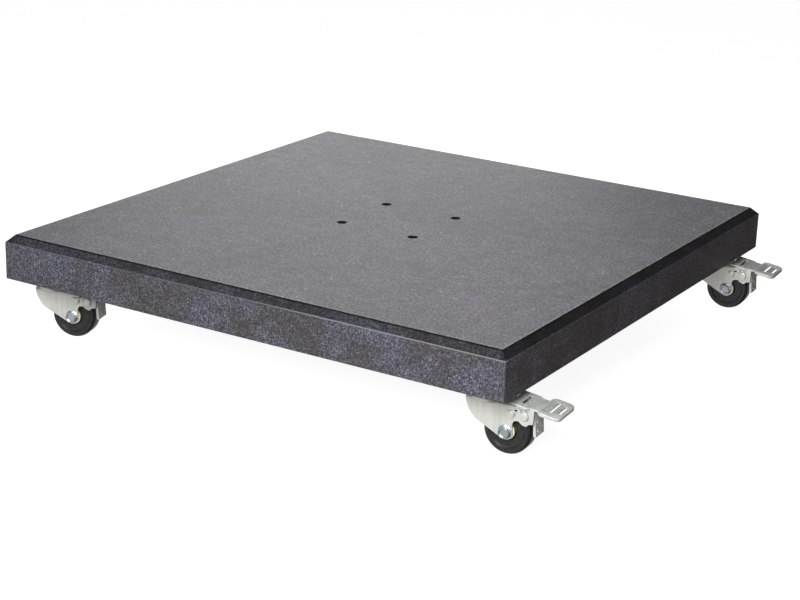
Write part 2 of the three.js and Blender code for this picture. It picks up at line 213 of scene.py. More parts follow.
def pressed_sheet(left, right, half, inner, outer, bottom, top, fold):
    """A rounded rectangle in plan whose upper edge is rolled over with the radius of a press tool."""
    levels = [(0, bottom)]
    for angle in (0, 30, 60, 90):
        turn = math.radians(angle)
        levels.append((fold * (1 - math.cos(turn)), top - fold * (1 - math.sin(turn))))
    rings = []
    for inset, z in levels:
        corners = [max(corner - inset, 0.2) for corner in (inner, outer)]
        outline = rounded_rectangle(left + inset, right - inset, half - inset, *corners, steps=8)
        rings.append([(x, y, z) for x, y in outline])
    return loft(*rings)


def lathe(profile, axis="z", steps=64, closed=False):
    """A (radius, height) profile turned about the Z or Y axis."""
    bm = bmesh.new()
    rings = []
    for radius, height in profile:
        if radius < 1e-6:
            rings.append([bm.verts.new((0, 0, height))])
            continue
        angles = [2 * math.pi * i / steps for i in range(steps)]
        rings.append([bm.verts.new((radius * math.cos(a), radius * math.sin(a), height)) for a in angles])
    following = rings[1:] + rings[:1] if closed else rings[1:]
    for a, b in zip(rings, following):
        for i in range(steps):
            j = (i + 1) % steps
            corners = (a[i % len(a)], a[j % len(a)], b[j % len(b)], b[i % len(b)])
            bm.faces.new(tuple(dict.fromkeys(corners)))
    mesh = to_mesh(bm)
    if axis == "y":
        mesh.transform(Matrix.Rotation(math.radians(-90), 4, "X"))
    return mesh


def moved(mesh, at, axis="z"):
    """The mesh moved to (x, y) if its axis stands, or to (x, z) if it lies across."""
    offset = (at[0], at[1], 0) if axis == "z" else (at[0], 0, at[1])
    mesh.transform(Matrix.Translation(offset))
    return mesh


def rod(radius, low, high, axis="z", at=(0, 0), steps=32):
    """A plain cylinder, placed as moved() places it."""
    return moved(lathe([(0, low), (radius, low), (radius, high), (0, high)], axis, steps), at, axis)


def hole_across(radius, at):
    """A tool that drills right through a castor across Y."""
    return rod(radius, -THROUGH, THROUGH, "y", at)


def evaluated(obj):
    """The object's mesh with its modifiers applied."""
    graph = bpy.context.evaluated_depsgraph_get()
    return bpy.data.meshes.new_from_object(obj.evaluated_get(graph), depsgraph=graph)


def combine(base, joins=(), cuts=(), common=()):
    """base cut down to what it has in common with some solids, then joined with some and cut by some."""
    work = bpy.data.objects.new("work", base)
    bpy.context.scene.collection.objects.link(work)
    tools = []
    for operation, meshes in (("INTERSECT", common), ("UNION", joins), ("DIFFERENCE", cuts)):
        for mesh in meshes:
            tool = bpy.data.objects.new("tool", mesh)
            bpy.context.scene.collection.objects.link(tool)
            tools.append(tool)
            modifier = work.modifiers.new(operation, "BOOLEAN")
            modifier.operation = operation
            modifier.solver = "MANIFOLD"
            modifier.object = tool
    bpy.context.view_layer.update()
    result = evaluated(work)
    for obj in (work, *tools):
        bpy.data.objects.remove(obj)
    return result


def softened(mesh, width, segments=2):
    """The mesh with its edges rounded, shaded smooth across the rounding and flat on the flats."""
    sharp = math.radians(32)
    mesh.shade_smooth()
    mesh.set_sharp_from_angle(angle=sharp)
    work = bpy.data.objects.new("work", mesh)
    bpy.context.scene.collection.objects.link(work)
    bevel = work.modifiers.new("edges", "BEVEL")
    bevel.width = width
    bevel.segments = segments
    bevel.limit_method = "ANGLE"
    bevel.angle_limit = sharp
    bevel.miter_outer = "MITER_ARC"
    bevel.harden_normals = True
    bpy.context.view_layer.update()
    result = evaluated(work)
    bpy.data.objects.remove(work)
    return result


# ---------------------------------------------------------------- the slab
def slab_mesh():
    """The stone with its chamfer and its four drilled holes, every arris rounded a little, as by wear."""
    half = SLAB_HIGH.x / MM
    low, high = SLAB_LOW.z / MM, SLAB_HIGH.z / MM
    levels = ((half, low), (half, high - SLAB_CHAMFER), (half - SLAB_CHAMFER, high))
    block = loft(*([(x * reach, y * reach, height) for x, y in QUADRANTS] for reach, height in levels))
    reach = PARASOL_HOLES["spacing"] / 2
    holes = [
        rod(PARASOL_HOLES["radius"], low - 1, high + 1, at=(x * reach, y * reach), steps=40)
        for x, y in QUADRANTS
    ]
    return softened(combine(block, cuts=holes), width=1.2, segments=4)


# ---------------------------------------------------------------- pieces fixed to the slab
def top_plate_mesh():
    """A square plate with the upper ball race pressed down in its middle as a round pan."""
    half, corner = PLATE["side"] / 2, PLATE["corner"]
    sheet = prism(rounded_rectangle(-half, half, half, corner, corner, 10), "z", PLATE["under"], PLATE["top"])
    pan = rod(PLATE["pan"], PLATE["pan_under"], PLATE["top"] - 0.8, steps=72)
    recess = rod(PLATE["pan"] - PLATE["wall"], PLATE["pan_under"] + PLATE["wall"], 1, steps=72)
    bore = rod(KING_PIN["hole"], PLATE["pan_under"] - 1, 1)
    reach = SCREW["spacing"] / 2
    screw_holes = [
        rod(SCREW["hole"], PLATE["under"] - 1, 1, at=(x * reach, y * reach)) for x, y in QUADRANTS
    ]
    return softened(combine(sheet, [pan], [recess, bore, *screw_holes]), width=0.5)


def plate_screw_mesh():
    """A pan-head screw with a cross recess, its head down."""
    seat = PLATE["under"] - 0.05
    low = PLATE["under"] - SCREW["height"]
    head, shank, tip, edge = SCREW["head"], SCREW["radius"], SCREW["length"], 1.6
    profile = [(0, low)] + arc((head - edge, low + edge), edge, 270, 360, 6)
    profile += [(head, seat), (shank, seat), (shank, tip - 3), (0.6, tip), (0, tip)]
    reach, half, depth = CROSS_RECESS["reach"], CROSS_RECESS["half"], CROSS_RECESS["depth"]
    arms = [box((-x, -y, low - 1), (x, y, low + depth)) for x, y in ((reach, half), (half, reach))]
    return softened(combine(lathe(profile, steps=40), cuts=arms), width=0.15, segments=1)


def king_pin_mesh():
    """A pin whose head sits in the plate's pan and whose lower end is riveted over under the fork."""
    head_under = PLATE["pan_under"] + PLATE["wall"] + 0.3
    rivet_top = KING_PIN["rivet_top"]
    radius, head, rivet = KING_PIN["radius"], KING_PIN["head"], KING_PIN["rivet"]
    profile = [
        (0, rivet_top - 2),
        (rivet - 2.2, rivet_top - 1.8),
        (rivet - 0.6, rivet_top - 1),
        (rivet, rivet_top),
        (radius, rivet_top),
        (radius, head_under),
        (head, head_under),
        (head, head_under + 1.6),
        (head - 2.5, PLATE["top"] - 1.1),
        (0, PLATE["top"] - 1),
    ]
    return softened(lathe(profile), width=0.3)


def lower_race_mesh():
    """The bearing washer under the fork's web."""
    inner, outer, low, high = KING_PIN["hole"], RACE["radius"], RACE["low"], RACE["high"]
    return softened(lathe([(inner, low), (outer, low), (outer, high), (inner, high)], closed=True), width=0.3)


# ---------------------------------------------------------------- pieces that swivel
def ball_ring_mesh():
    """Balls held by a flat cage."""
    pitch, height = BALLS["pitch"], BALLS["height"]
    inner, outer = pitch - CAGE["half_width"], pitch + CAGE["half_width"]
    low, high = height - CAGE["half_height"], height + CAGE["half_height"]
    cage = lathe([(inner, low), (outer, low), (outer, high), (inner, high)], closed=True)
    half_circle = arc((0, height), BALLS["radius"], -90, 90, 12)
    balls = []
    for i in range(BALLS["count"]):
        place = polar((0, 0), pitch, (i + 0.5) * 360 / BALLS["count"])
        balls.append(moved(lathe([(max(r, 0), z) for r, z in half_circle], steps=24), place))
    mesh = combine(cage, balls)
    mesh.shade_smooth()
    mesh.set_sharp_from_angle(angle=math.radians(30))
    return mesh


def leg_outline():
    """The fork's side view: raked front, round axle boss, arch over the wheel's back, and round ear."""
    top = FORK["top"]
    return (
        bezier((FORK["front"], top), (-23.5, -25), (-19, -36), (-9, -42), 16)
        + arc(AXLE, BOSS_RADIUS, 242, 365, 20)
        + bezier((36.46, -49.17), (35.6, -42), (33.5, -33.8), (42, -33.6), 14)
        + arc(PIVOT, EAR_RADIUS, 270, 420, 18)
        + [(FORK["back"], top)]
    )


def dome(centre, side, face, height):
    """A low round boss across Y, as on the fork's legs and at both ends of the brake pin."""
    radius = PIN["head"]
    rim = [(0, face - 1), (radius, face - 1), (radius, face + 0.3 * height)]
    rim += [(0.93 * radius, face + 0.72 * height), (0.76 * radius, face + 0.95 * height)]
    profile = rim + [(0.4 * radius, face + height), (0, face + height)]
    return moved(lathe([(r, side * y) for r, y in profile], "y", 40), centre, "y")


def groove(centre, side, face, width, depth, start, end):
    """A tool that cuts a curved groove round a dome into a sheet across Y."""
    inner = PIN["head"] + 0.1
    outline = arc(centre, inner + width, start, end, 16) + arc(centre, inner, end, start, 16)
    return plate_across(outline, side, face + 1, face - depth)


def channel_mesh():
    """The fork's sheet before it is drilled: a channel with round folds, trimmed to its side view."""
    half, sheet, top, fold = FORK["half"], FORK["sheet"], FORK["top"], FORK["fold"]
    front, back, deep = FORK["front"] - 2, 62, -70
    centres = ((fold - half, top - fold), (half - fold, top - fold))
    folds = arc(centres[0], fold, 180, 90, 8) + arc(centres[1], fold, 90, 0, 8)
    hollow = arc(centres[1], fold - sheet, 0, 90, 6) + arc(centres[0], fold - sheet, 90, 180, 6)
    section = [(-half, deep)] + folds + [(half, deep), (half - sheet, deep)] + hollow + [(sheet - half, deep)]
    channel = prism(section, "x", front, back)
    return combine(channel, common=[prism(leg_outline(), "y", -THROUGH, THROUGH)])


def crown_mesh():
    """The round cup on top of the fork that holds the balls."""
    bore, crown, rim = KING_PIN["hole"], FORK["crown"], FORK["rim"]
    top, under, corner = FORK["top"], FORK["top"] - FORK["sheet"], 0.9
    inside = crown - CROWN_WALL
    profile = [(bore, under)] + arc((crown - CROWN_ROUND, under + CROWN_ROUND), CROWN_ROUND, 270, 360, 8)
    profile += [(crown, rim - 0.8), (crown, rim), (inside, rim), (inside, top + corner)]
    profile += arc((inside - corner, top + corner), corner, 0, -90, 4) + [(bore, top)]
    return lathe(profile, steps=80, closed=True)


def fork_mesh():
    """Channel and crown, with the leg bosses pressed out and every hole cut."""
    half, top = FORK["half"], FORK["top"]
    bosses = [dome(LEG_BOSS, side, half, LEG_BOSS_HEIGHT) for side in SIDES]
    grooves = [groove(LEG_BOSS, side, half, width=1.3, depth=1.5, start=-35, end=125) for side in SIDES]
    x, z = LEG_WINDOW["at"]
    slot = stadium(0, LEG_WINDOW["half_length"], LEG_WINDOW["half_width"])
    window = prism([(x + along, z + across) for across, along in slot], "y", -THROUGH, THROUGH)
    cuts = [
        box((FORK["back"], -WEB_END_HALF, -20), (70, WEB_END_HALF, -10)),
        rod(KING_PIN["hole"], top - 6, top + 1),
        hole_across(BOLT["hole"], AXLE),
        hole_across(PIN["hole"], PIVOT),
        window,
        *grooves,
    ]
    return softened(combine(channel_mesh(), [crown_mesh(), *bosses], cuts), width=0.45)


def hexagon(low, high):
    """A bolt's hexagon across the fork on the axle, its corners turned off on both faces."""
    radius = BOLT["hex"]
    block = rod(radius, low, high, "y", AXLE, steps=6)
    turned_off = [(0, low), (radius * 0.88, low), (radius + 0.02, low + 0.9)]
    turned_off += [(radius + 0.02, high - 0.9), (radius * 0.88, high), (0, high)]
    return combine(block, common=[moved(lathe(turned_off, "y", 60), AXLE, "y")])


def axle_bolt_mesh():
    """Head and flange on the near side, and the thread's end standing out of the nut."""
    face, flange = -BOLT["face"], BOLT["flange"]
    head_low, floor = face - BOLT["head"], face - BOLT_DISH["floor"]
    edge, inner = BOLT_DISH["radius"], BOLT_DISH["floor_radius"]
    dish = [(0, head_low - 1.8), (edge, head_low - 1.8), (edge, head_low), (inner, floor), (0, floor)]
    head = combine(hexagon(head_low, face - 0.4), cuts=[moved(lathe(dish, "y"), AXLE, "y")])
    washer = [(0, face), (flange, face), (flange, face - 0.6)]
    washer += [(BOLT["hex"] - 0.6, face - 1.7), (0, face - 1.7)]
    radius, end, start, pitch = BOLT["radius"], BOLT["end"], THREAD["from"], THREAD["pitch"]
    thread = [(0, face - 1), (radius, face - 1), (radius, start)]
    for i in range(int((end - 1 - start) / pitch)):
        thread += [(radius - THREAD["depth"], start + (i + 0.5) * pitch), (radius, start + (i + 1) * pitch)]
    thread += [(radius - 0.9, end), (0, end)]
    shank = moved(lathe(thread, "y", 40), AXLE, "y")
    return softened(combine(head, [moved(lathe(washer, "y"), AXLE, "y"), shank]), width=0.25, segments=1)


def axle_nut_mesh():
    """A hexagon nut on the far side, drilled for the bolt."""
    face, thick = BOLT["face"], BOLT["nut"]
    bore = rod(BOLT["hole"], face - 1, face + thick + 2, "y", AXLE)
    return softened(combine(hexagon(face, face + thick), cuts=[bore]), width=0.25, segments=1)


def brake_pin_mesh():
    """A rivet with a broad, low head at each end."""
    face = PIN["face"]
    heads = [dome(PIVOT, side, face, PIN["height"]) for side in SIDES]
    middle = box((PIVOT[0] - 9, -face, PIVOT[1] - 9), (PIVOT[0] + 9, face, PIVOT[1] + 9))
    shank = rod(PIN["radius"], -face - 0.6, face + 0.6, "y", PIVOT)
    return softened(combine(combine(heads[0], [heads[1]], [middle]), [shank]), width=0.2, segments=1)


def brake_spring_mesh():
    """A leaf spring on the fork's web, bent down behind it."""
    start, back = FORK["crown"] + 2, FORK["back"] + 0.5
    sheet, under = SPRING["sheet"], FORK["top"] + SPRING["gap"]
    end = under - SPRING["drop"]
    outline = (
        [(start, under), (back - 0.2, under), (back, under - 0.3), (back, end)]
        + [(back + sheet, end), (back + sheet, under)]
        + arc((back - 0.1, under - 0.1), 0.8, 0, 90, 5)
        + [(start, under + sheet)]
    )
    return softened(prism(outline, "y", -SPRING["half"], SPRING["half"]), width=0.12, segments=1)


# ---------------------------------------------------------------- pieces that roll
def wheel_mesh():
    """A moulded wheel: crowned tread, round shoulders, a shallow dish and a hub on each side."""
    radius, half, shoulder = WHEEL["radius"], WHEEL["half"], WHEEL["shoulder"]
    bore, hub = WHEEL["bore"], WHEEL["hub"]
    side = (
        [(radius, 0), (radius - 0.05, 4.5)]
        + arc((radius - shoulder, half - shoulder), shoulder, 8, 82, 10)
        + [(radius - 7.2, half), (radius - 8.6, half - 1.6), (hub + 2, half - 1.9), (hub + 0.6, half - 0.2)]
        + [(hub, half), (bore + 0.4, half), (bore, half - 0.4)]
    )
    profile = [(r, -y) for r, y in reversed(side[1:])] + side
    return softened(moved(lathe(profile, "y", 96, closed=True), AXLE, "y"), width=0.3, segments=1)


def hub_bush_mesh(side):
    """A flanged sleeve; the flange is a shallow dish with a raised rim."""
    inner, outer, flange = BUSH["inner"], BUSH["outer"], BUSH["flange"]
    start, near, far = BUSH["start"], BUSH["flange_from"], BUSH["flange_to"]
    profile = [(inner, start), (outer, start), (outer, near), (flange, near), (flange, far)]
    profile += [(flange - 1.5, far), (flange - 1.9, far - 1), (outer + 0.8, far - 1)]
    profile += [(outer + 0.4, far), (inner, far)]
    mesh = lathe([(r, side * y) for r, y in profile], "y", closed=True)
    return softened(moved(mesh, AXLE, "y"), width=0.25)


# ---------------------------------------------------------------- pieces that the foot presses
def tipped(mesh):
    """Turns a piece drawn flat from the pedal's knee down to the pedal's pitch."""
    knee = Matrix.Translation((PEDAL["knee"][0], 0, PEDAL["knee"][1]))
    mesh.transform(knee @ Matrix.Rotation(math.radians(PEDAL["pitch"]), 4, "Y"))
    return mesh


def cheek_outline():
    """The side view of a cheek, which hangs from the rocker plate and holds the pin."""
    return (
        [(41, -11.5), (43.5, -28)]
        + bezier((43.5, -28), (44.5, -34), (49, -37), (53.5, -37), 10)
        + bezier((53.5, -37), (56, -37), (55.5, -34.5), (58, -34), 6)
        + [(62.5, -33), (63.5, -15)]
    )


def pad_mesh():
    """The raised pad, hollow from below inside its turned-down rim."""
    left, right, half, corner = PAD["from"], PAD["to"], PAD["half"], PAD["corner"]
    lift, sheet = PAD["lift"], PEDAL["sheet"]
    bottom = lift - PAD["rim"]
    shell = pressed_sheet(left, right, half, corner, corner, bottom=bottom, top=lift, fold=1.5)
    inner = corner - sheet
    inside = rounded_rectangle(left + sheet, right - sheet, half - sheet, inner, inner, steps=8)
    return combine(shell, cuts=[prism(inside, "z", bottom - 1, lift - sheet)])


def rocker_mesh():
    """Rocker plate, neck and pad, drawn flat, with ribs across the plate and fine lines in the pad."""
    sheet, half, corner = PEDAL["sheet"], ROCKER["half"], ROCKER["corner"]
    plate = pressed_sheet(ROCKER["from"], ROCKER["to"], half, 1, corner, bottom=-sheet, top=0, fold=1.2)
    neck = pressed_sheet(0, NECK["to"], NECK["half"], 1, 1, bottom=-sheet, top=0, fold=1.0)
    skirts = []
    for side in SIDES:
        near, far = sorted((side * (half - sheet), side * half))
        skirts.append(box((SKIRT["from"], near, SKIRT["bottom"]), (ROCKER["to"] - corner, far, -sheet + 0.2)))
    length, width, height = ROCKER_RIB["half_length"], ROCKER_RIB["half_width"], ROCKER_RIB["height"]
    ribs = [prism(stadium(x, length, width), "z", -height, height) for x in ROCKER_RIBS]
    low, high = PAD["lift"] - PAD_LINE["depth"], PAD["lift"] + 1
    lines = [prism(stadium(x, reach, PAD_LINE["half_width"]), "z", low, high) for x, reach in PAD_LINES]
    return combine(plate, [neck, pad_mesh(), *skirts, *ribs], lines)


def brake_pedal_mesh():
    """Rocker, neck and pad at their pitch, with two cheeks that carry the pin."""
    face = PEDAL["cheek_out"]
    cheeks = [plate_across(cheek_outline(), side, PEDAL["cheek_in"], face) for side in SIDES]
    low, high, width = CHEEK_WINDOWS["low"], CHEEK_WINDOWS["high"], CHEEK_WINDOWS["width"]
    windows = [box((x, -THROUGH, low), (x + width, THROUGH, high)) for x in CHEEK_WINDOWS["from"]]
    windows += [groove(PIVOT, side, face, width=1.2, depth=1.2, start=-40, end=60) for side in SIDES]
    windows += [groove(PIVOT, side, face, width=1.0, depth=1.2, start=100, end=150) for side in SIDES]
    slots = [tipped(prism(stadium(x, length, SLOT_HALF_WIDTH, 8), "z", -10, 5)) for x, length in SLOTS]
    cuts = [*slots, *windows, hole_across(PIN["hole"], PIVOT)]
    return softened(combine(tipped(rocker_mesh()), cheeks, cuts), width=0.35)


def brake_shoe_mesh():
    """A bent plate with a lip down each side, and sharp burrs punched through it."""
    half, top, bottom = SHOE["half"], SHOE["top"], SHOE["bottom"]
    back = [(54, -15.3), top, bottom, (62.3, -51.2), (60, -18.3), (54, -17.3)]
    lip = [(61, -24), (59.2, -25), (61, -50.6), (62.8, -50.6)]
    lips = [plate_across(lip, side, half, half - SHOE["lip"]) for side in SIDES]
    high, low = (Vector((x, 0, z)) for x, z in (top, bottom))
    outward = Matrix.Rotation(math.radians(SHOE["facing"]), 4, "Y")
    burr, hole = SHOE_HOLE["burr"], SHOE_HOLE["radius"]
    burrs, punches = [], []
    for share, across in SHOE_HOLES:
        place = Matrix.Translation(high.lerp(low, share) + Vector((0, across, 0))) @ outward
        burrs.append(lathe([(0, -1), (burr, -1), (burr - 0.3, 0.3), (0, 0.3)], steps=20))
        punches.append(lathe([(0, -4), (hole, -4), (hole + 0.1, 2), (0, 2)], steps=16))
        burrs[-1].transform(place)
        punches[-1].transform(place)
    return softened(combine(prism(back, "y", -half, half), lips + burrs, punches), width=0.3)


# ---------------------------------------------------------------- shader nodes
def new_material(name, **settings):
    """A material with a Principled shader, whose even settings are put on its own sockets."""
    material = bpy.data.materials.new(name)
    material.use_nodes = True
    shader = material.node_tree.nodes["Principled BSDF"]
    for socket, value in settings.items():
        shader.inputs[socket.replace("_", " ")].default_value = value
    return material, material.node_tree, shader


def node(tree, kind, inputs=(), **properties):
    """A new node, with its properties set and its inputs linked or given values."""
    made = tree.nodes.new("ShaderNode" + kind)
    for name, value in properties.items():
        setattr(made, name, value)
    for key, value in dict(inputs).items():
        if isinstance(value, bpy.types.NodeSocket):
            tree.links.new(value, made.inputs[key])
        else:
            made.inputs[key].default_value = value
    return made


def noise(tree, scale, detail=3, roughness=0.55, where=None):
    """Fractal noise, in the piece's own coordinates unless others are given."""
    place = where or node(tree, "TexCoord").outputs["Object"]
    settings = {"Vector": place, "Scale": scale, "Detail": detail, "Roughness": roughness}
    return node(tree, "TexNoise", settings).outputs["Fac"]


def ramp(tree, value, *stops):
    """A colour ramp through (position, (r, g, b)) or (position, grey) stops."""
    made = node(tree, "ValToRGB", {"Fac": value})
    elements = made.color_ramp.elements
    while len(elements) < len(stops):
        elements.new(0.5)
    for element, (position, colour) in zip(elements, stops):
        element.position = position
        rgb = (colour,) * 3 if isinstance(colour, (int, float)) else colour
        element.color = (*rgb, 1)
    return made.outputs["Color"]


def mix(tree, share, a, b, blend="MIX"):
    """Colour a with a share of colour b laid over it."""
    a, b = (colour if isinstance(colour, bpy.types.NodeSocket) else (*colour, 1) for colour in (a, b))
    return node(tree, "Mix", {0: share, 6: a, 7: b}, data_type="RGBA", blend_type=blend).outputs[2]


def product(tree, *layers):
    """All the layers multiplied together."""
    result = layers[0]
    for layer in layers[1:]:
        result = mix(tree, 1.0, result, layer, "MULTIPLY")
    return result


def calculated(tree, operation, a, b, kind="Math", output=0):
    """What a Math or VectorMath node makes of two values."""
    return node(tree, kind, {0: a, 1: b}, operation=operation).outputs[output]


def components(tree, vector):
    """The vector's X, Y and Z, as sockets of their own."""
    return node(tree, "SeparateXYZ", {"Vector": vector}).outputs


def bump(tree, shader, height, distance, strength):
    """Small unevenness of the surface, of this height in metres."""
    made = node(tree, "Bump", {"Height": height, "Distance": distance, "Strength": strength})
    tree.links.new(made.outputs["Normal"], shader.inputs["Normal"])


# ---------------------------------------------------------------- materials
GRANITE = {
    "dark_cloud": (0.099, 0.097, 0.104),
    "pale_cloud": (0.125, 0.123, 0.131),
    "green_tint": (0.98, 0.99, 0.98),
    "violet_tint": (1.02, 0.99, 1.06),
    "ground": (0.040, 0.038, 0.041),
    "blue_ground": (0.042, 0.041, 0.053),
    "mineral": (0.215, 0.208, 0.215),
    "blue_mineral": (0.33, 0.33, 0.405),
    # painted highlight: the pale colour along the lower front arris
    "arris": (0.19, 0.19, 0.205),
    # painted shade: near black inside the parasol holes
    "hole": (0.012, 0.012, 0.013),
}
FLAT_EDGE = SLAB_HIGH.x - SLAB_CHAMFER * MM  # in metres, like every place in a material


def honed_stone(tree, place, from_middle, fine_grain):
    """The flat top: clouded grey with fine grain, scattered glints and a paler rim."""
    cloudy = noise(tree, 5, 5, 0.65, place)
    clouds = ramp(tree, cloudy, (0.34, GRANITE["dark_cloud"]), (0.66, GRANITE["pale_cloud"]))
    tinted = noise(tree, 13, 4, 0.6, place)
    tint = ramp(tree, tinted, (0.42, GRANITE["green_tint"]), (0.58, GRANITE["violet_tint"]))
    mottles = ramp(tree, noise(tree, 27, 3, 0.6, place), (0.36, 0.93), (0.64, 1.07))
    blotches = ramp(tree, noise(tree, 60, 3, 0.6, place), (0.36, 0.86), (0.64, 1.14))
    grain = ramp(tree, noise(tree, 290, 1.5, 0.5, place), (0.36, 0.62), (0.50, 0.98), (0.66, 1.54))
    dots = node(tree, "TexVoronoi", {"Vector": place, "Scale": 75.0, "Randomness": 1.0}).outputs
    glints = ramp(tree, dots["Distance"], (0.10, 1.9), (0.17, 1.0))
    specks = mix(tree, ramp(tree, dots["Color"], (0.35, 0), (0.65, 1)), (1, 1, 1), glints)
    rim = ramp(tree, from_middle, (FLAT_EDGE - 0.0035, 1.0), (FLAT_EDGE - 0.0018, 1.3))
    return product(tree, clouds, tint, mottles, blotches, grain, fine_grain, specks, rim)


def sawn_stone(tree, place, fine_grain):
    """The sides and the underside: dark stone full of pale crystals, bluish in patches."""
    patches = ramp(tree, noise(tree, 17, 4, 0.6, place), (0.42, 0), (0.60, 1))
    ground = mix(tree, patches, GRANITE["ground"], GRANITE["blue_ground"])
    mineral = mix(tree, patches, GRANITE["mineral"], GRANITE["blue_mineral"])
    cells = node(tree, "TexVoronoi", {"Vector": place, "Scale": 640.0, "Randomness": 1.0}).outputs
    flakes = ramp(tree, cells["Color"], (0.55, 0), (0.98, 1))
    threads = ramp(tree, noise(tree, 470, 6, 0.75, place), (0.48, 0), (0.66, 1))
    return product(tree, mix(tree, mix(tree, 0.55, flakes, threads), ground, mineral), fine_grain)


def bevelled_stone(tree, side, where, sideways):
    """The side's stone, but darker on the chamfer, partly for its polish and partly as painted dark
    reflection, near black at its top arris as painted reflection; painted shade on the left and right
    chamfers, and a pale painted highlight along the lower front arris, brighter towards the right.
    """
    # the depth is 0 at the top face and 1 a little below the chamfer
    depth = calculated(tree, "MULTIPLY", where["Z"], -1 / (1.2 * SLAB_CHAMFER * MM))
    # painted dark reflection: darker over the chamfer, partly for its polish, and near black at its top arris
    shade = ramp(tree, depth, (0.05, 0.04), (0.18, 0.46))
    # painted shade: the chamfers on the left and right sides are made half as bright
    across = ramp(tree, sideways, (FLAT_EDGE + 0.0005, 1.0), (FLAT_EDGE + 0.0015, 0.5))
    below = ramp(tree, depth, (0.78, 0), (0.80, 1))
    shaded = mix(tree, below, product(tree, side, shade, across), side)
    # painted highlight along the lower front arris, on the front only and brighter towards the right
    painted_arris_highlight = ramp(tree, depth, (0.765, 0), (0.78, 1), (0.87, 1), (0.885, 0))
    forwards = calculated(tree, "MULTIPLY", where["Y"], -1)
    on_front = ramp(tree, forwards, (FLAT_EDGE + 0.003, 0), (FLAT_EDGE + 0.006, 1))
    to_the_right = ramp(tree, where["X"], (0.0, 0.25), (0.12, 1))
    return mix(tree, product(tree, painted_arris_highlight, on_front, to_the_right), shaded, GRANITE["arris"])


def granite_material():
    """Honed grey on the flat top, paler partly for its finish and partly as painted sheen, and dark, finely
    speckled stone everywhere else, with painted light and shade on the chamfers and in the holes.
    """
    material, tree, shader = new_material("granite", Specular_IOR_Level=0.16)
    place = node(tree, "TexCoord").outputs["Object"]
    plan = calculated(tree, "MULTIPLY", place, (1, 1, 0), "VectorMath")
    quarter = node(tree, "VectorMath", {0: plan}, operation="ABSOLUTE").outputs[0]
    reach = components(tree, quarter)
    from_middle = calculated(tree, "MAXIMUM", reach["X"], reach["Y"])
    hole_at = PARASOL_HOLES["spacing"] / 2 * MM
    wall = PARASOL_HOLES["radius"] * MM
    from_hole = calculated(tree, "DISTANCE", quarter, (hole_at, hole_at, 0), "VectorMath", "Value")

    fine_grain = ramp(tree, noise(tree, 1100, 2, 0.6, place), (0.35, 0.85), (0.65, 1.15))
    top = honed_stone(tree, place, from_middle, fine_grain)
    side = sawn_stone(tree, place, fine_grain)
    # the sides, with painted dark reflection and shade on the chamfers and a painted highlight along the
    # lower front arris
    side_with_painted_light = bevelled_stone(tree, side, components(tree, place), reach["X"])
    # painted shade: the walls of the parasol holes are coloured near black
    outside = ramp(tree, from_hole, (wall + 0.0008, 0), (wall + 0.0012, 1))
    drilled = mix(tree, outside, GRANITE["hole"], side_with_painted_light)
    up = components(tree, node(tree, "NewGeometry").outputs["Normal"])["Z"]
    # the top is paler than the sides: partly its honed finish, partly painted sheen
    honed = ramp(tree, up, (0.955, 0), (0.985, 1))
    tree.links.new(mix(tree, honed, drilled, top), shader.inputs["Base Color"])
    tree.links.new(ramp(tree, honed, (0, 0.34), (1, 0.62)), shader.inputs["Roughness"])
    bump(tree, shader, noise(tree, 480, 3, 0.6, place), 0.00015, 0.5)
    return material


def zinc_material(name, cool, warm, metallic, roughness, spangle=0.05):
    """Plated steel: faint tints, fine grain, upright streaks, uneven gloss and slight waves."""
    material, tree, shader = new_material(name, Metallic=metallic)
    colour = ramp(tree, noise(tree, 38, 2, 0.5), (0.36, cool), (0.62, warm))
    grain = ramp(tree, noise(tree, 900, 3, 0.6), (0.3, 1 - spangle), (0.7, 1.0))
    place = node(tree, "TexCoord").outputs["Object"]
    upright = calculated(tree, "MULTIPLY", place, (1, 1, 0.1), "VectorMath")
    rolled = ramp(tree, noise(tree, 190, 2, 0.5, upright), (0.35, 0.93), (0.65, 1.04))
    tree.links.new(product(tree, colour, grain, rolled), shader.inputs["Base Color"])
    gloss = ramp(tree, noise(tree, 160, 4, 0.65), (0.3, roughness - 0.07), (0.7, roughness + 0.08))
    tree.links.new(gloss, shader.inputs["Roughness"])
    waves = mix(tree, 0.2, noise(tree, 60, 2, 0.5), noise(tree, 420, 3, 0.6))
    bump(tree, shader, waves, 0.0003, 0.35)
    return material


def wheel_material():
    """Black moulded plastic, dusty and scuffed all over."""
    material, tree, shader = new_material("black_moulded_plastic")
    scuffs = ramp(tree, noise(tree, 320, 5, 0.7), (0.52, 0), (0.75, 1))
    colour = mix(tree, scuffs, (0.015, 0.015, 0.015), (0.052, 0.050, 0.046))
    tree.links.new(colour, shader.inputs["Base Color"])
    tree.links.new(ramp(tree, noise(tree, 120, 4, 0.6), (0.3, 0.26), (0.7, 0.42)), shader.inputs["Roughness"])
    bump(tree, shader, noise(tree, 700, 3, 0.6), 0.00008, 0.4)
    return material


def bush_material():
    """Ivory nylon, which lets a little light in."""
    material, tree, shader = new_material("ivory_nylon", Subsurface_Weight=0.1, Roughness=0.45)
    shader.inputs["Subsurface Radius"].default_value = (0.002, 0.0015, 0.001)
    colour = ramp(tree, noise(tree, 250, 3, 0.6), (0.3, (0.72, 0.66, 0.46)), (0.7, (0.80, 0.75, 0.58)))
    tree.links.new(colour, shader.inputs["Base Color"])
    return material


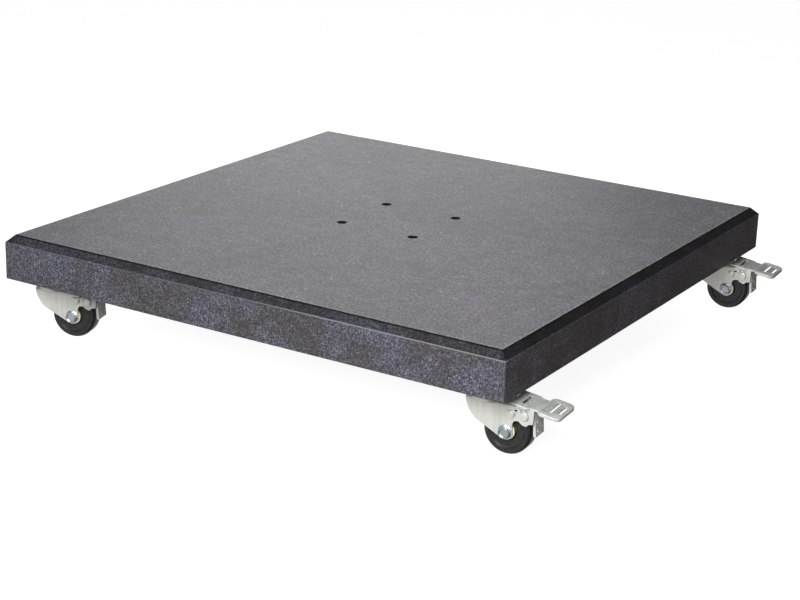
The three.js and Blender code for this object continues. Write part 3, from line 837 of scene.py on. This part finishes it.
MATERIALS = {
    "granite": granite_material(),
    "zinc_plate": zinc_material("pale_zinc_sheet", (0.69, 0.71, 0.66), (0.77, 0.755, 0.685), 0.5, 0.36),
    "pedal_zinc": zinc_material(
        "satin_grey_zinc", (0.53, 0.56, 0.53), (0.615, 0.635, 0.605), 0.1, 0.45, spangle=0.12
    ),
    "bright_zinc": zinc_material("bright_blue_zinc", (0.46, 0.52, 0.56), (0.60, 0.65, 0.68), 0.9, 0.36),
    "black_wheel": wheel_material(),
    "ivory_bush": bush_material(),
}


# ---------------------------------------------------------------- putting the pieces in place
def add_piece(name, mesh, matrix, body, slot, replaced=None):
    """A copy of the mesh as a piece of its own, which rides on a body and may stand for a CAD node."""
    data = mesh.copy()
    data.transform(matrix)
    data.materials.clear()
    data.materials.append(MATERIALS[slot])
    piece = bpy.data.objects.new(name, data)
    bpy.context.scene.collection.objects.link(piece)
    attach(piece, body)
    if replaced:
        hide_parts(replaced)


def castor_matrix(castor, turned=True):
    """From a castor's millimetres to the model's metres."""
    swivel = JOINTS[castor + "_swivel"]["pos_m"]
    axle = JOINTS[castor + "_roll"]["pos_m"]
    heading = math.atan2(axle[1] - swivel[1], axle[0] - swivel[0]) if turned else 0
    origin = Matrix.Translation((swivel[0], swivel[1], SLAB_LOW.z))
    return origin @ Matrix.Rotation(heading, 4, "Z") @ Matrix.Scale(MM, 4)


FIXED = {
    "top_plate": (top_plate_mesh(), "zinc_plate"),
    "king_pin": (king_pin_mesh(), "bright_zinc"),
    "lower_race": (lower_race_mesh(), "zinc_plate"),
}
TURNING = {
    "ball_ring": (ball_ring_mesh(), "fork", "bright_zinc"),
    "fork": (fork_mesh(), "fork", "zinc_plate"),
    "axle_bolt": (axle_bolt_mesh(), "fork", "bright_zinc"),
    "axle_nut": (axle_nut_mesh(), "fork", "bright_zinc"),
    "brake_pin": (brake_pin_mesh(), "fork", "zinc_plate"),
    "brake_spring": (brake_spring_mesh(), "fork", "bright_zinc"),
    "wheel": (wheel_mesh(), "wheel", "black_wheel"),
    "hub_bush_near": (hub_bush_mesh(-1), "wheel", "ivory_bush"),
    "hub_bush_far": (hub_bush_mesh(1), "wheel", "ivory_bush"),
    "brake_pedal": (brake_pedal_mesh(), "pedal", "pedal_zinc"),
    "brake_shoe": (brake_shoe_mesh(), "pedal", "pedal_zinc"),
}
SCREW_MESH = plate_screw_mesh()


def add_screws(castor, still):
    """The four plate screws, each stopped at its own angle."""
    reach = SCREW["spacing"] / 2
    for number, (x, y) in enumerate(QUADRANTS, 1):
        turn = Matrix.Rotation(number * SCREW_TURN, 4, "Z")
        place = still @ Matrix.Translation((x * reach, y * reach, 0)) @ turn
        add_piece(f"{castor}_plate_screw_{number}", SCREW_MESH, place, "slab", "bright_zinc")


def add_castor(castor):
    """One castor: its fixed pieces, its screws and the pieces that swivel, roll or tip."""
    still = castor_matrix(castor, turned=False)
    for piece, (mesh, slot) in FIXED.items():
        add_piece(f"{castor}_{piece}_shape", mesh, still, "slab", slot, f"{castor}_{piece}")
    add_screws(castor, still)
    turned = castor_matrix(castor)
    for piece, (mesh, body, slot) in TURNING.items():
        add_piece(f"{castor}_{piece}_shape", mesh, turned, f"{castor}_{body}", slot, f"{castor}_{piece}")


# ---------------------------------------------------------------- floor, light and camera
def make_floor():
    """A white floor that takes a faint shadow but throws no light back on the stone."""
    mesh = bpy.data.meshes.new("floor")
    reach = 12
    mesh.from_pydata([(x * reach, y * reach, FLOOR) for x, y in QUADRANTS], [], [(0, 1, 2, 3)])
    floor = bpy.data.objects.new("floor", mesh)
    bpy.context.scene.collection.objects.link(floor)
    white = {"Base_Color": (0.3, 0.3, 0.3, 1), "Emission_Color": (1, 1, 1, 1), "Emission_Strength": 0.92}
    mesh.materials.append(new_material("floor_white", Roughness=0.8, **white)[0])
    floor.visible_diffuse = False
    floor.visible_glossy = False


def add_light(name, place, aim, size, power, colour):
    """A rectangular lamp that the camera doesn't see."""
    light = bpy.data.lights.new(name, "AREA")
    light.shape = "RECTANGLE"
    light.size, light.size_y = size
    light.energy = power
    light.color = colour
    lamp = bpy.data.objects.new(name, light)
    lamp.location = place
    lamp.visible_camera = False
    lamp.rotation_euler = (Vector(aim) - Vector(place)).to_track_quat("-Z", "Y").to_euler()
    bpy.context.scene.collection.objects.link(lamp)


LAMPS = {
    "back_left": {
        "place": (-0.82, 1.12, 0.62),
        "aim": (-0.1, 0.2, 0),
        "size": (1.2, 0.8),
        "power": 17,
        "colour": (1, 1, 1),
    },
    "front": {
        "place": (0.62, -1.75, 0.95),
        "aim": (0.1, 0, -0.05),
        "size": (1.0, 0.8),
        "power": 47,
        "colour": (0.97, 0.98, 1),
    },
    "low_right": {
        "place": (1.0, -0.55, -0.07),
        "aim": (0.4, -0.28, -0.11),
        "size": (0.5, 0.1),
        "power": 0.85,
        "colour": (1, 0.9, 0.78),
    },
}


def make_light():
    """A soft room, dark on the right and overhead, with a lamp at the back left, in front and low down."""
    world = bpy.data.worlds.new("studio")
    world.use_nodes = True
    tree = world.node_tree
    towards = components(tree, node(tree, "TexCoord").outputs["Generated"])
    across = ramp(tree, towards["X"], (0.0, 1.0), (0.35, (0.085, 0.064, 0.050)))
    overhead = ramp(tree, towards["Z"], (0.05, 1.0), (0.3, 0.35))
    background = tree.nodes["Background"]
    tree.links.new(product(tree, across, overhead), background.inputs["Color"])
    background.inputs["Strength"].default_value = 0.6
    bpy.context.scene.world = world
    for name, lamp in LAMPS.items():
        add_light(name, **lamp)


# degrees, metres, and millimetres for the lens
CAMERA = {"azimuth": 31.41, "elevation": 18.75, "roll": 1.79, "distance": 2.281, "lens": 85.4}
AIM = Vector((0.181, -0.288, 0))


def make_camera():
    """A camera at CAMERA's angles and distance from the point AIM."""
    azimuth, elevation = math.radians(CAMERA["azimuth"]), math.radians(CAMERA["elevation"])
    level = math.cos(elevation)
    back = Vector((math.sin(azimuth) * level, -math.cos(azimuth) * level, math.sin(elevation)))
    data = bpy.data.cameras.new("camera")
    data.sensor_width = 36
    data.lens = CAMERA["lens"]
    camera = bpy.data.objects.new("camera", data)
    camera.location = AIM + back * CAMERA["distance"]
    camera.rotation_mode = "QUATERNION"
    roll = Matrix.Rotation(math.radians(CAMERA["roll"]), 3, "Z").to_quaternion()
    camera.rotation_quaternion = (-back).to_track_quat("-Z", "Y") @ roll
    bpy.context.scene.collection.objects.link(camera)
    bpy.context.scene.camera = camera


add_piece("granite_slab", slab_mesh(), Matrix.Scale(MM, 4), "slab", "granite", "slab")
for castor in CASTORS:
    add_castor(castor)
make_floor()
make_light()
make_camera()
bpy.context.scene.view_settings.view_transform = "Standard"
